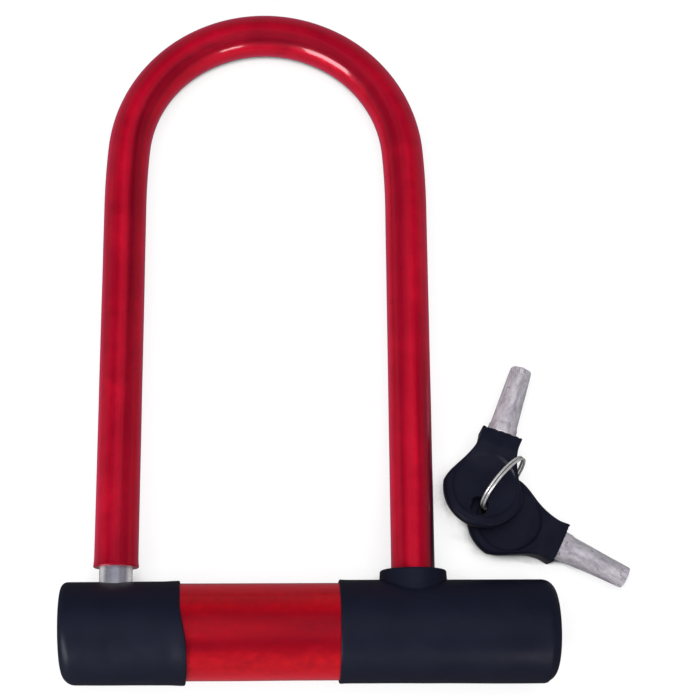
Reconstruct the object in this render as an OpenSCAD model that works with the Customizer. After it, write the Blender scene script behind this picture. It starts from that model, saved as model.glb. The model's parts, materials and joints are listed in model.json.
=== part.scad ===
// Bicycle U lock lying on its side, with its two tubular keys on a split ring.
// Origin: on the crossbar's axis, midway between the two legs of the shackle.
// +X runs along the crossbar towards the keyhole, +Y towards the crown of the U,
// +Z is square to the plane of the U. Everything is drawn closed but not locked.

/* [Shackle] */
// Distance between the centre lines of the two legs
leg_gap = 107.2; // [106:0.1:109]
// Height of the crown's centre line above the crossbar's axis
crown_y = 232.5; // [180:0.5:260]
// Diameter of the bare shackle bar
bar_d = 12; // [11.6:0.1:12]
// Outside diameter of the plastic sleeve over the bar
sleeve_d = 16; // [15:0.1:16]
// Height at which the sleeve ends on the left leg, leaving bare metal below it
left_sleeve_end = 23.1; // [21:0.1:30]
// Height at which the sleeve ends on the right leg, inside the collar
right_sleeve_end = 19; // [18.8:0.1:20]
// How far the legs reach below the crossbar's axis
leg_depth = 13; // [11:0.1:13.2]

/* [Crossbar] */
// Outside diameter of the steel tube
tube_d = 32; // [32:0.1:32.4]
// Wall of the steel tube
tube_wall = 2; // [1.6:0.1:2.2]
// Left end of the steel tube
tube_left = -69.4; // [-69.8:0.1:-68.4]
// Right end of the steel tube
tube_right = 100.5; // [100.3:0.1:100.9]
// Outside diameter of the red sleeve over the tube
band_d = 34.6; // [34.2:0.1:34.6]

/* [End caps] */
// Outside diameter of the right cap
right_cap_d = 36.84; // [36.4:0.02:37.2]
// Rim of the right cap
right_cap_rim = 26.6; // [20:0.1:32]
// Right end of the right cap
right_cap_end = 104.9; // [104.1:0.1:106.1]
// Outside diameter of the left cap near its closed end
left_cap_d = 36.6; // [36.4:0.02:37]
// Outside diameter of the left cap at its flared rim
left_rim_d = 37.6; // [37:0.02:38.4]
// Rim of the left cap where it is shortest, on the crown side
left_rim_short = -30.8; // [-34:0.1:-28]
// Rim of the left cap where it is longest, on the far side
left_rim_long = -27.4; // [-30:0.1:-26]
// Left end of the left cap
left_cap_end = -72.3; // [-73.4:0.1:-71.8]
// Diameter of the opening for the key in the right cap
keyway_d = 12.6; // [12:0.1:13]
// Diameter of the collar around the right leg
collar_d = 24.5; // [22:0.1:26]
// Height of the collar's top above the crossbar's axis
collar_top = 21.7; // [21:0.1:24]

/* [Lock cylinder] */
// Outside diameter of the cylinder shell
shell_d = 19; // [18.6:0.1:19.2]
// Face of the cylinder shell
shell_face = 92; // [91.8:0.1:92.4]
// Plane at which the plug turns against the pin barrel
shear_x = 80.3; // [80:0.1:80.4]
// Radius of the circle of pins
pin_circle = 4; // [3.95:0.05:4]
// Number of pins
pin_count = 7; // [7:1:7]
// Diameter of a pin
pin_d = 1.6; // [1.4:0.1:1.6]
// Travel of the pins, from the shear plane out towards the face
pin_travel = 1.4; // [1:0.1:1.4]
// Radius of the bolt disc and its lug
bolt_r = 8; // [7.8:0.1:8]

/* [Keys] */
// Radius of the round part of a key's bow
bow_r = 15.4; // [14:0.1:16]
// Thickness of the round part of a bow
bow_t = 4.8; // [4.6:0.1:4.9]
// Distance from the centre of the bow to the end of its neck
neck_end = 21.3; // [20:0.1:23]
// Width of the neck
neck_w = 15; // [13:0.1:15.6]
// Thickness of the neck
neck_t = 10.6; // [10.2:0.1:11]
// Distance from the centre of the bow to the tip of the key
key_tip = 49; // [45:0.1:52]
// Diameter of the hollow key at its tip
key_tip_d = 8; // [7.9:0.05:8.1]
// Diameter of the key where it leaves the neck
key_root_d = 9.6; // [9:0.1:9.8]
// Radius of the hole for the ring
ring_hole_r = 3.5; // [3.2:0.05:3.6]
// Centre of the upper key's bow
key_a_at = [81.25, 53.14, -4.27];
// Heading of the upper key, from +X (degrees)
key_a_heading = 70.6; // [60:0.1:80]
// Dip of the upper key towards its tip (degrees)
key_a_dip = 5.6; // [0:0.1:12]
// Centre of the lower key's bow
key_b_at = [90.58, 42.21, -10.8];
// Heading of the lower key, from +X (degrees)
key_b_heading = -26.3; // [-40:0.1:-10]
// Dip of the lower key towards its tip (degrees)
key_b_dip = 3.2; // [0:0.1:8]
// Centre of the split ring
ring_at = [88.48, 54.43, -3.74];
// Heading of the split ring's own plane, from +X (degrees)
ring_heading = 48.3; // [30:0.1:60]
// Lean of the split ring from upright (degrees)
ring_lean = 10; // [0:0.1:30]
// Radius of the split ring to the middle of its wire
ring_r = 12.16; // [12:0.02:12.3]
// Diameter of the ring's wire
ring_wire = 1; // [0.8:0.05:1.1]

/* [Hidden] */
$fn = 72;

steel = [0.72, 0.73, 0.75];
zinc = [0.62, 0.63, 0.65];
brass = [0.8, 0.66, 0.34];
red = [0.72, 0.03, 0.09];
black = [0.1, 0.1, 0.13];

// Clearances
hair = 0.05;      // between pieces that rest against each other
pin_fit = 0.02;   // radial, around a driven pin
running = 0.05;   // radial, where one piece turns or slides in another
leg_play = 0.15;  // radial, around a leg
over = 1;         // how far a cutter reaches past the face it cuts

leg_x = leg_gap / 2;
bar_r = bar_d / 2;
tube_r = tube_d / 2;
bore_r = tube_r - tube_wall;
band_r = band_d / 2;
block_r = bore_r - hair;
leg_hole_r = bar_r + leg_play;
shoulder_y = crown_y - leg_x;   // where the straight legs meet the round crown

// Lengths along the crossbar
block_left = -66;
block_right = -42;
leg_block_left = 41;
leg_block_right = 64.1;
housing_left = leg_block_right + hair;
housing_right = tube_right - 0.2;
roll_pin_r = 1.5;
pin_left_x = -63;
pin_right_x = 44.6;
housing_pin_x = 97;
housing_pin_y = -10;

// Lock bolt
lug_chord = bar_r - 0.6;   // flat side of the lug, just clear of the leg
lug_left = 56.6;
disc_left = 60;
disc_right = 64;
notch_left = 56.4;
notch_low = -bolt_r - 0.3;
notch_high = -1;
bolt_square = 3.6;

// Cylinder
shell_back = 64.4;
shell_r = shell_d / 2;
barrel_r = 7.45;
plug_r = 5.4;
plug_front = shear_x + 6;
chamber_r = pin_circle + pin_d / 2 + 0.1;
lip_r = key_tip_d / 2 + 0.15;
post_r = 2.75;
spindle_r = 2.5;
pin_r = pin_d / 2;
driver_len = 5;
spring_turns = 7;
spring_end = 66.4;
cross_pin_x = 68;
cross_pin_r = 1;
cross_pin_in = 5.5;
nib_w = 1.4;
nib_r = 4.7;
// How far each key pin stands in front of the plug, which is the depth of the key's own cut
cuts = [1.0, 2.2, 1.6, 2.8, 1.3, 2.5, 1.9];
lip_x = plug_front + max(cuts) + pin_travel;

// Key
key_bore_r = 3;
key_bore_depth = 12;
stem_r = 3.5;
hole_x = -7.9;
face_r = 11.9;
face_sink = 0.4;
flank_start = -2;
flank_end = 17.5;

module along_x() { rotate([0, 90, 0]) children(); }
module along_y() { rotate([-90, 0, 0]) children(); }

// A rod along X, from one station to another
module rod_x(x0, x1, r) { translate([x0, 0, 0]) along_x() cylinder(h = x1 - x0, r = r); }

// A hole or a leg along Y at a given X
module rod_y(x, y0, y1, r) { translate([x, y0, 0]) along_y() cylinder(h = y1 - y0, r = r); }

// The U swept with a ring section: outside radius ro, bore radius ri (0 for solid)
module section(ro, ri) {
  difference() {
    circle(r = ro);
    if (ri > 0) circle(r = ri);
  }
}

module straight_leg(x, y0, ro, ri) {
  translate([x, shoulder_y, 0]) rotate([90, 0, 0])
    linear_extrude(height = shoulder_y - y0) section(ro, ri);
}

module u_path(end_left, end_right, ro, ri) {
  straight_leg(-leg_x, end_left, ro, ri);
  straight_leg(leg_x, end_right, ro, ri);
  translate([0, shoulder_y, 0]) rotate_extrude(angle = 180) translate([leg_x, 0]) section(ro, ri);
}

// Chamfer cutter for the end of a leg
module foot_chamfer(x) {
  chamfer = 1.2;
  translate([x, -leg_depth, 0]) along_y() difference() {
    translate([0, 0, -over]) cylinder(h = chamfer + over, r = bar_r + over);
    translate([0, 0, -over - hair])
      cylinder(h = chamfer + over + 2 * hair, r1 = bar_r - chamfer - over, r2 = bar_r + hair);
  }
}

module shackle_bar() {
  color(steel) difference() {
    u_path(-leg_depth, -leg_depth, bar_r, 0);
    translate([notch_left, notch_low, -bar_r - over])
      cube([bar_r + over, notch_high - notch_low, 2 * (bar_r + over)]);
    foot_chamfer(-leg_x);
    foot_chamfer(leg_x);
  }
}

module shackle_sleeve() {
  color(red) u_path(left_sleeve_end, right_sleeve_end, sleeve_d / 2, bar_r + hair);
}

// Holes for the two legs, open towards the crown
module leg_holes(r) {
  rod_y(-leg_x, 0, tube_d, r);
  rod_y(leg_x, 0, tube_d, r);
}

// Holes for the pins that hold the blocks in the tube
module pin_holes() {
  for (at = [[pin_left_x, 0], [pin_right_x, 0], [housing_pin_x, housing_pin_y]])
    translate([at[0], at[1], -tube_d]) cylinder(h = 2 * tube_d, r = roll_pin_r + pin_fit);
}

module crossbar_tube() {
  color(steel) difference() {
    rod_x(tube_left, tube_right, tube_r);
    rod_x(tube_left - over, tube_right + over, bore_r);
    leg_holes(leg_hole_r);
    pin_holes();
  }
}

module crossbar_sleeve() {
  color(red) difference() {
    rod_x(tube_left, tube_right, band_r);
    rod_x(tube_left - over, tube_right + over, tube_r + hair);
    leg_holes(leg_hole_r + 0.3);
  }
}

// Half outline of a cap: straight or flared wall, rounded closed end at x = 0, open rim at x = len
module cap_outline(len, r_end, r_rim, fillet) {
  flare = len * 0.75;
  polygon(concat(
    [[0, 0], [r_end - fillet, 0]],
    [for (a = [15:15:75]) [r_end - fillet + fillet * sin(a), fillet - fillet * cos(a)]],
    [[r_end, fillet], [r_end + (r_rim - r_end) * 0.35, flare], [r_rim, len], [0, len]]
  ));
}

module left_cap() {
  len = left_rim_long - left_cap_end;
  skew = atan((left_rim_long - left_rim_short) / left_rim_d);
  color(black) difference() {
    translate([left_cap_end, 0, 0]) along_x() rotate_extrude()
      cap_outline(len, left_cap_d / 2, left_rim_d / 2, 4);
    rod_x(tube_left - hair, 0, band_r + hair);
    rod_y(-leg_x, 0, left_rim_d, leg_hole_r);
    // rim cut a little askew, shortest on the crown side
    translate([left_rim_long, -left_rim_d / 2, 0]) rotate([0, 0, skew])
      translate([0, -left_rim_d, -left_rim_d]) cube([left_rim_d, 3 * left_rim_d, 2 * left_rim_d]);
  }
}

module right_cap() {
  len = right_cap_end - right_cap_rim;
  color(black) difference() {
    translate([right_cap_end, 0, 0]) mirror([1, 0, 0]) along_x() rotate_extrude()
      cap_outline(len, right_cap_d / 2, right_cap_d / 2, 5);
    rod_x(right_cap_rim - over, tube_right + hair, band_r + hair);
    rod_x(tube_right - over, right_cap_end + over, keyway_d / 2);
    rod_y(leg_x, 0, right_cap_d, collar_d / 2 - 1.5);
  }
}

module shackle_collar() {
  round_r = 1.2;
  color(black) difference() {
    union() {
      rod_y(leg_x, 0, collar_top - round_r, collar_d / 2);
      rod_y(leg_x, 0, collar_top, collar_d / 2 - round_r);
      translate([leg_x, collar_top - round_r, 0]) along_y()
        rotate_extrude() translate([collar_d / 2 - round_r, 0]) circle(r = round_r);
    }
    rod_y(leg_x, -over, collar_top + over, sleeve_d / 2 + 0.1);
    // underside rests on the cap, and a spigot drops through the cap onto the tube's sleeve
    difference() {
      rod_x(leg_x - collar_d, leg_x + collar_d, right_cap_d / 2 + hair);
      rod_y(leg_x, 0, collar_top, collar_d / 2 - 1.5 - hair);
    }
    rod_x(leg_x - collar_d, leg_x + collar_d, band_r + hair);
  }
}

// Die-cast block that fills the tube
module block(x0, x1) {
  difference() {
    rod_x(x0, x1, block_r);
    pin_holes();
  }
}

module foot_block() {
  color(zinc) difference() {
    block(block_left, block_right);
    rod_y(-leg_x, -leg_depth - 0.3, tube_d, leg_hole_r);
  }
}

// Space for the turning bolt: a round seat for the disc and a half-round track for the lug,
// whose two flat ends are the stops of the bolt's quarter turn
module bolt_space() {
  play = 0.1;
  half = acos(lug_chord / bolt_r);
  slack = 1;
  rod_x(disc_left - play, leg_block_right + over, bolt_r + 2 * play);
  translate([notch_left, 0, 0]) rotate([90, 0, 90]) rotate([0, 0, 90 - half - slack])
    rotate_extrude(angle = 90 + 2 * (half + slack)) square([bolt_r + play, disc_left - notch_left]);
}

module leg_block() {
  color(zinc) difference() {
    block(leg_block_left, leg_block_right);
    rod_y(leg_x, -leg_depth - 0.3, tube_d, leg_hole_r);
    bolt_space();
  }
}

module cylinder_housing() {
  color(zinc) difference() {
    block(housing_left, housing_right);
    rod_x(housing_left - over, shell_face + 0.1, shell_r + running);
    rod_x(shell_face, housing_right + over, keyway_d / 2);
  }
}

// Half length of a pin laid across the tube at an offset y, ending just inside its sleeve
function across(y, r) = sqrt(pow(tube_r - hair, 2) - pow(abs(y) + r, 2));

// Rolled from sheet, with a slit along one side
module roll_pin(x, y) {
  sheet = 0.5;
  slit = 0.4;
  half = across(y, roll_pin_r);
  translate([x, y, -half]) difference() {
    cylinder(h = 2 * half, r = roll_pin_r);
    translate([0, 0, -over]) cylinder(h = 2 * (half + over), r = roll_pin_r - sheet);
    translate([0, -slit / 2, -over]) cube([roll_pin_r + over, slit, 2 * (half + over)]);
  }
}

module block_pins() {
  color(steel) for (x = [pin_left_x, pin_right_x]) roll_pin(x, 0);
}

module housing_pin() { color(steel) roll_pin(housing_pin_x, housing_pin_y); }

// Places something at each pin of the cylinder, with its own x along the crossbar
module each_pin() {
  for (i = [0:pin_count - 1]) rotate([(i + 0.5) * 360 / pin_count, 0, 0])
    translate([0, 0, pin_circle]) {
      $pin = i;
      children();
    }
}

// The two short pins that hold the pin barrel in its shell, above and below the axis
module cross_pins(low, high, r) {
  for (side = [0, 1]) mirror([0, 0, side])
    translate([cross_pin_x, 0, low]) cylinder(h = high - low, r = r);
}

module cylinder_shell() {
  color(brass) difference() {
    rod_x(shell_back, shell_face, shell_r);
    rod_x(shell_back - over, shear_x, barrel_r + hair);
    rod_x(shear_x - over, plug_front + hair, plug_r + running);
    rod_x(plug_front, lip_x, chamber_r);
    rod_x(lip_x - over, shell_face + over, lip_r);
    // slot that lets the key's nib past the lip
    translate([lip_x - over, -nib_w / 2 - 0.1, 0])
      cube([shell_face - lip_x + 2 * over, nib_w + 0.2, nib_r + 0.15]);
    cross_pins(barrel_r - over, shell_r + over, cross_pin_r + pin_fit);
  }
}

module pin_barrel() {
  color(brass) difference() {
    rod_x(shell_back + 0.6, shear_x - 0.04, barrel_r);
    rod_x(shell_back - over, shear_x + over, spindle_r + running);
    each_pin() rod_x(spring_end - 0.05, shear_x + over, pin_r + running);
    cross_pins(cross_pin_in - hair, barrel_r + over, cross_pin_r + pin_fit);
  }
}

module barrel_pin() {
  color(steel) cross_pins(cross_pin_in, shell_r - hair, cross_pin_r);
}

module plug() {
  color(brass) difference() {
    union() {
      rod_x(shear_x, plug_front, plug_r);
      rod_x(plug_front, shell_face - 0.5, post_r);
      rod_x(disc_right + 0.05, shear_x, spindle_r);
      translate([disc_left + 1.85, -bolt_square / 2, -bolt_square / 2])
        cube([disc_right - disc_left, bolt_square, bolt_square]);
    }
    each_pin() rod_x(shear_x - over, plug_front + over, pin_r + running);
    rod_x(disc_left, disc_left + 7, 1.05);
  }
}

module key_pins() {
  color(brass) each_pin() rod_x(shear_x + 0.01, plug_front + cuts[$pin], pin_r);
}

module driver_pins() {
  color(steel) each_pin() rod_x(shear_x - 0.05 - driver_len, shear_x - 0.05, pin_r);
}

// Coil spring along X: wire of three flat sides wound on a helix
module coil(x0, x1, r, wire, turns) {
  steps = 8;
  n = turns * steps;
  function station(i) = x0 + wire / 2 + (x1 - x0 - wire) * i / n;
  function corners(i) =
    let (c = cos(360 * i / steps), d = sin(360 * i / steps))
    [for (a = [0, 120, 240]) let (w = r + wire / 2 * cos(a))
      [station(i) + wire / 2 * sin(a), w * c, w * d]];
  polyhedron(
    points = [for (i = [0:n]) each corners(i)],
    faces = concat(
      [[0, 1, 2]],
      [for (i = [0:n - 1], k = [0:2]) each
        let (a = 3 * i + k, b = 3 * i + (k + 1) % 3) [[a, a + 3, b + 3], [a, b + 3, b]]],
      [[3 * n + 2, 3 * n + 1, 3 * n]]
    )
  );
}

module pin_springs() {
  color(steel) each_pin()
    coil(spring_end, shear_x - 0.1 - driver_len, 0.58, 0.3, spring_turns);
}

module rotary_bolt() {
  color(steel) difference() {
    union() {
      rod_x(disc_left, disc_right, bolt_r);
      intersection() {
        rod_x(lug_left, disc_left + over, bolt_r);
        translate([lug_left, -bolt_r, lug_chord]) cube([disc_right, 2 * bolt_r, bolt_r]);
      }
    }
    rod_x(disc_left - over, disc_left + 1.8, 2.5);
    translate([disc_left, -bolt_square / 2 - hair, -bolt_square / 2 - hair])
      cube([disc_right, bolt_square + 2 * hair, bolt_square + 2 * hair]);
  }
}

module bolt_screw() {
  color(steel) difference() {
    union() {
      rod_x(disc_left + 0.2, disc_left + 1.8, 2.4);
      rod_x(disc_left + 1.7, disc_left + 6.5, 1);
    }
    translate([disc_left, -0.3, -3]) cube([0.9, 0.6, 6]);
  }
}

// Key, drawn with its tip along +X and the centre of its bow at the origin
function half_width(x) = neck_w / 2
  + (bow_r - neck_w / 2) / 2 * (1 + cos(180 * (min(x, flank_end) + 4) / (flank_end + 4)));

// One closed outline: a round plate whose two flanks run in a soft S down to the neck
module bow_outline() {
  steps = 12;
  turn = acos(flank_start / bow_r);
  edge = neck_w / 2 - 1;
  flank = [for (i = [1:steps])
    let (x = flank_start + (neck_end - 1 - flank_start) * i / steps) [x, half_width(x)]];
  polygon(concat(
    [for (a = [turn:(360 - 2 * turn) / 24:360.01 - turn]) bow_r * [cos(a), sin(a)]],
    [for (p = flank) [p[0], -p[1]]],
    [[neck_end, -edge], [neck_end, edge]],
    [for (i = [steps - 1:-1:0]) flank[i]]
  ));
}

// Side view of the bow: thin round plate, thicker neck around the root of the key
module bow_side() {
  polygon([
    [-bow_r - over, -bow_t / 2 + 0.6], [-bow_r + 1.4, -bow_t / 2], [7, -bow_t / 2],
    [14, -neck_t / 2 + 0.6], [16, -neck_t / 2], [neck_end - 0.7, -neck_t / 2],
    [neck_end + over, -neck_t / 2 + 0.9], [neck_end + over, neck_t / 2 - 0.9],
    [neck_end - 0.7, neck_t / 2], [16, neck_t / 2], [14, neck_t / 2 - 0.6],
    [7, bow_t / 2], [-bow_r + 1.4, bow_t / 2], [-bow_r - over, bow_t / 2 - 0.6]
  ]);
}

module key_bow() {
  color(black) difference() {
    intersection() {
      translate([0, 0, -neck_t]) linear_extrude(height = 2 * neck_t) bow_outline();
      translate([0, bow_r + over, 0]) rotate([90, 0, 0])
        linear_extrude(height = 2 * (bow_r + over)) bow_side();
    }
    translate([hole_x, 0, -neck_t]) cylinder(h = 2 * neck_t, r = ring_hole_r);
    for (side = [-1, 1]) translate([0, 0, side * (bow_t / 2 - face_sink) + (side - 1) * over / 2])
      intersection() {
        cylinder(h = over, r = face_r);
        translate([-face_r - over, -face_r - over, 0]) cube([face_r + 7, 2 * (face_r + over), over]);
      }
    rod_x(8.9, neck_end + over, stem_r + hair);
  }
}

module key_barrel() {
  tip_round = 0.6;
  color(zinc) difference() {
    union() {
      rod_x(9, neck_end + 1, stem_r);
      translate([neck_end + hair, 0, 0]) along_x()
        cylinder(h = key_tip - tip_round - neck_end - hair, r1 = key_root_d / 2, r2 = key_tip_d / 2);
      translate([key_tip - tip_round, 0, 0]) along_x()
        cylinder(h = tip_round, r1 = key_tip_d / 2, r2 = key_tip_d / 2 - 0.3);
      translate([key_tip - 3, -nib_w / 2, 0]) cube([2, nib_w, nib_r]);
    }
    rod_x(key_tip - key_bore_depth, key_tip + over, key_bore_r);
    each_pin() rod_x(key_tip - cuts[$pin] - 1.2, key_tip + over, pin_r + running);
  }
}

module place_key(at, heading, dip) {
  translate(at) rotate([0, dip, heading]) children();
}

module key_a_barrel() { place_key(key_a_at, key_a_heading, key_a_dip) key_barrel(); }
module key_a_bow() { place_key(key_a_at, key_a_heading, key_a_dip) key_bow(); }
module key_b_barrel() { place_key(key_b_at, key_b_heading, key_b_dip) key_barrel(); }
module key_b_bow() { place_key(key_b_at, key_b_heading, key_b_dip) key_bow(); }

// Split ring: two flat turns of wire side by side, joined by a short step from one to the other
module split_ring() {
  steps = 44;
  sides = 8;
  jog = 34;
  sweep = 720 - jog;
  n = round(sweep / 360 * steps);
  pitch = ring_wire + 0.04;
  function lift(t) =
    let (u = min(1, max(0, (t - 360 + jog) / jog)))
    pitch * (u * u * (3 - 2 * u) - 0.5);
  function loop(i) =
    let (t = sweep * i / n)
    [for (k = [0:sides - 1])
      let (a = 360 * (k + 0.5) / sides, r = ring_r + ring_wire / 2 * cos(a))
      [r * cos(t), r * sin(t), lift(t) + ring_wire / 2 * sin(a)]];
  polyhedron(
    points = [for (i = [0:n]) each loop(i)],
    faces = concat(
      [[for (k = [0:sides - 1]) k]],
      [for (i = [0:n - 1], k = [0:sides - 1]) each
        let (a = sides * i + k, b = sides * i + (k + 1) % sides)
        [[a, a + sides, b + sides], [a, b + sides, b]]],
      [[for (k = [sides - 1:-1:0]) sides * n + k]]
    )
  );
}

module key_ring() {
  color(steel) translate(ring_at) rotate([0, 0, ring_heading]) rotate([90 - ring_lean, 0, 0])
    rotate([0, 0, 250]) split_ring();
}

shackle_bar();
shackle_sleeve();
crossbar_tube();
crossbar_sleeve();
left_cap();
right_cap();
shackle_collar();
foot_block();
leg_block();
cylinder_housing();
block_pins();
housing_pin();
cylinder_shell();
pin_barrel();
barrel_pin();
plug();
key_pins();
driver_pins();
pin_springs();
rotary_bolt();
bolt_screw();
key_a_barrel();
key_a_bow();
key_b_barrel();
key_b_bow();
key_ring();
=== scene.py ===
"""Looks of the bicycle U lock: red sleeved shackle and crossbar, soft black caps, two keys on a ring.

Shapes are worked out in millimetres in the frame of the CAD model and written to Blender in metres.
"""

import json
import math

import bmesh
import bpy
from mathutils import Matrix, Vector, noise


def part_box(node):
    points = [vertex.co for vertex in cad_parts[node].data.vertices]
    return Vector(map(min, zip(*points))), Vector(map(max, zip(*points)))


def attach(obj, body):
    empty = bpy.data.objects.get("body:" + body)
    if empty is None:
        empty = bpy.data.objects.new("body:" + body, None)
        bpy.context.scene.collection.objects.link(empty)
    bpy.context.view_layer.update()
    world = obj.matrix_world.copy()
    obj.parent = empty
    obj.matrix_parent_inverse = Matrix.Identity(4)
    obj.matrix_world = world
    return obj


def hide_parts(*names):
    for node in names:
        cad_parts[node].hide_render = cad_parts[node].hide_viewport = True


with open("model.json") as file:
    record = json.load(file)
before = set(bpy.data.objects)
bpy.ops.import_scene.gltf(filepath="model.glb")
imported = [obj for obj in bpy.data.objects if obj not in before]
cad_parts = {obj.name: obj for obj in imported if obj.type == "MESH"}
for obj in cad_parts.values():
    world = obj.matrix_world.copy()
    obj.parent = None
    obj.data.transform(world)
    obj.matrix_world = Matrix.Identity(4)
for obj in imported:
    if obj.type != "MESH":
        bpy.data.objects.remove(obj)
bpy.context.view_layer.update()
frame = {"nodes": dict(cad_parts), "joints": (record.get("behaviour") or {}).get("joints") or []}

MM = 0.001
TURN = 2 * math.pi


# ---------------------------------------------------------------- measures taken from the frame

def box_mm(node):
    """Lowest and highest corner of a CAD node, in millimetres."""
    lo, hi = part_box(node)
    return lo / MM, hi / MM


def key_frame(joint_name):
    """Ring hole of a key and its own axes: x to the tip, y across, z square to the bow."""
    joint = next(j for j in frame["joints"] if j["name"] == joint_name)
    z = Vector(joint["axis"]).normalized()
    y = Vector((0, 0, 1)).cross(z).normalized()
    x = y.cross(z)
    return Vector(joint["pos_m"]) / MM, x, y, z


sleeve_lo, sleeve_hi = box_mm("shackle_sleeve")
bar_lo, bar_hi = box_mm("shackle_bar")
band_lo, band_hi = box_mm("crossbar_sleeve")
left_lo, left_hi = box_mm("left_cap")
right_lo, right_hi = box_mm("right_cap")
collar_lo, collar_hi = box_mm("shackle_collar")
ring_lo, ring_hi = box_mm("key_ring")

SLEEVE_R = sleeve_hi.z
BAR_R = bar_hi.z
LEG_X = sleeve_hi.x - SLEEVE_R
CROWN_Y = sleeve_hi.y - SLEEVE_R
BAND_R = band_hi.z
RIGHT_CAP_R = right_hi.z
LEFT_CAP_R = left_hi.z
COLLAR_R = (collar_hi.x - collar_lo.x) / 2
LEG_HOLE_R = BAR_R + 0.15


# ---------------------------------------------------------------- mesh helpers

def smoothstep(low, high, value):
    t = min(1.0, max(0.0, (value - low) / (high - low)))
    return t * t * (3 - 2 * t)


def ripple(point, scale, amount):
    """Soft unevenness: a value in -amount..amount that changes over about `scale` mm."""
    return amount * noise.noise(point / scale)


def angles(count):
    return [TURN * i / count for i in range(count)]


def loft(rings, closed=False, ends=(False, False)):
    """Faces over rings of equal count; closed joins the last ring to the first, ends fill the two holes."""
    count = len(rings[0])
    verts = [p for ring in rings for p in ring]
    faces = []
    for i in range(len(rings) if closed else len(rings) - 1):
        a, b = i * count, (i + 1) % len(rings) * count
        for k in range(count):
            n = (k + 1) % count
            faces.append((a + k, a + n, b + n, b + k))
    if ends[0]:
        faces.append(tuple(reversed(range(count))))
    if ends[1]:
        faces.append(tuple(range(len(verts) - count, len(verts))))
    return verts, faces


def piece(name, shape, material, body, stands_for, straight=None):
    """A mesh object in the row frame that rides on a body. straight is an optional vector per vertex."""
    verts, faces = shape
    mesh = bpy.data.meshes.new(name)
    mesh.from_pydata([Vector(v) * MM for v in verts], [], faces)
    if straight:
        store = mesh.attributes.new("straight", "FLOAT_VECTOR", "POINT")
        store.data.foreach_set("vector", [c * MM for v in straight for c in v])
    obj = bpy.data.objects.new(name, mesh)
    bpy.context.scene.collection.objects.link(obj)
    tidy_mesh(obj)
    mesh.materials.append(material)
    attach(obj, body)
    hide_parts(*stands_for)
    return obj


def tidy_mesh(obj):
    """Merges doubled points, turns all faces outwards and smooths all but the sharp edges."""
    bm = bmesh.new()
    bm.from_mesh(obj.data)
    bmesh.ops.remove_doubles(bm, verts=bm.verts, dist=1e-6)
    bmesh.ops.dissolve_degenerate(bm, edges=bm.edges, dist=1e-7)
    bmesh.ops.recalc_face_normals(bm, faces=bm.faces)
    bm.to_mesh(obj.data)
    bm.free()
    for face in obj.data.polygons:
        face.use_smooth = True
    obj.data.set_sharp_from_angle(angle=math.radians(38))


def combine(obj, operation, *shapes):
    """Cuts shapes out of obj, or joins them to it, for good."""
    for verts, faces in shapes:
        mesh = bpy.data.meshes.new("tool")
        mesh.from_pydata([Vector(v) * MM for v in verts], [], faces)
        tool = bpy.data.objects.new("tool", mesh)
        bpy.context.scene.collection.objects.link(tool)
        tidy_mesh(tool)
        modifier = obj.modifiers.new("combine", "BOOLEAN")
        modifier.operation = operation
        modifier.solver = "EXACT"
        modifier.object = tool
        bpy.context.view_layer.update()
        result = obj.evaluated_get(bpy.context.evaluated_depsgraph_get())
        obj.data = bpy.data.meshes.new_from_object(result)
        obj.modifiers.clear()
        bpy.data.objects.remove(tool)
    tidy_mesh(obj)


def lathe(profile, place, count, closed=False):
    """Surface of (station, radius) points turned about an axis; place maps (station, radius, angle).

    closed joins the last point of the profile to the first; the two ends of an open one are filled.
    """
    rings = [[place(s, r, a) for a in angles(count)] for s, r in profile]
    return loft(rings, closed, (not closed, not closed))


def about_x(s, r, a):
    return Vector((s, r * math.cos(a), r * math.sin(a)))


def about_y(x):
    """Place about a line along +Y at a given x."""
    return lambda s, r, a: Vector((x + r * math.cos(a), s, r * math.sin(a)))


def arc(cx, cr, radius, start, stop, steps):
    """Points of an arc in a profile; angles in degrees from the station axis."""
    spread = [start + (stop - start) * i / steps for i in range(steps + 1)]
    turns = [math.radians(a) for a in spread]
    return [(cx + radius * math.cos(t), cr + radius * math.sin(t)) for t in turns]


def line(start, stop, steps):
    """Evenly spaced points between two profile points, without the first."""
    return [tuple(s + (e - s) * i / steps for s, e in zip(start, stop)) for i in range(1, steps + 1)]


# ---------------------------------------------------------------- shader helpers

def new_material(name):
    material = bpy.data.materials.new(name)
    material.use_nodes = True
    material.node_tree.nodes.clear()
    return material, material.node_tree


def put(tree, kind, *values, out=0, settings=None, **named):
    """Adds a shader node and returns one of its outputs.

    values fill its inputs in order, named by name; a socket is linked, anything else is set.
    """
    made = tree.nodes.new("ShaderNode" + kind)
    for key, value in (settings or {}).items():
        setattr(made, key, value)
    filled = list(enumerate(values)) + [(key.replace("_", " "), value) for key, value in named.items()]
    for key, value in filled:
        if isinstance(value, bpy.types.NodeSocket):
            tree.links.new(value, made.inputs[key])
        elif value is not None:
            made.inputs[key].default_value = value
    return made.outputs[out] if made.outputs else None


def math_node(tree, operation, *values):
    return put(tree, "Math", *values, settings={"operation": operation})


def grain(tree, vector, scale, detail, roughness=0.55, distortion=0.0):
    return put(tree, "TexNoise", Vector=vector, Scale=scale, Detail=detail, Roughness=roughness,
               Distortion=distortion)


def remap(tree, value, low, high, to_low=0.0, to_high=1.0):
    return put(tree, "MapRange", value, low, high, to_low, to_high,
               settings={"interpolation_type": "SMOOTHSTEP"})


def blend_colour(tree, factor, first, second):
    mixed = tree.nodes.new("ShaderNodeMix")
    mixed.data_type = "RGBA"
    for index, value in ((0, factor), (6, first), (7, second)):
        if isinstance(value, bpy.types.NodeSocket):
            tree.links.new(value, mixed.inputs[index])
        else:
            mixed.inputs[index].default_value = value if index == 0 else (*value, 1.0)
    return mixed.outputs[2]


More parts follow.
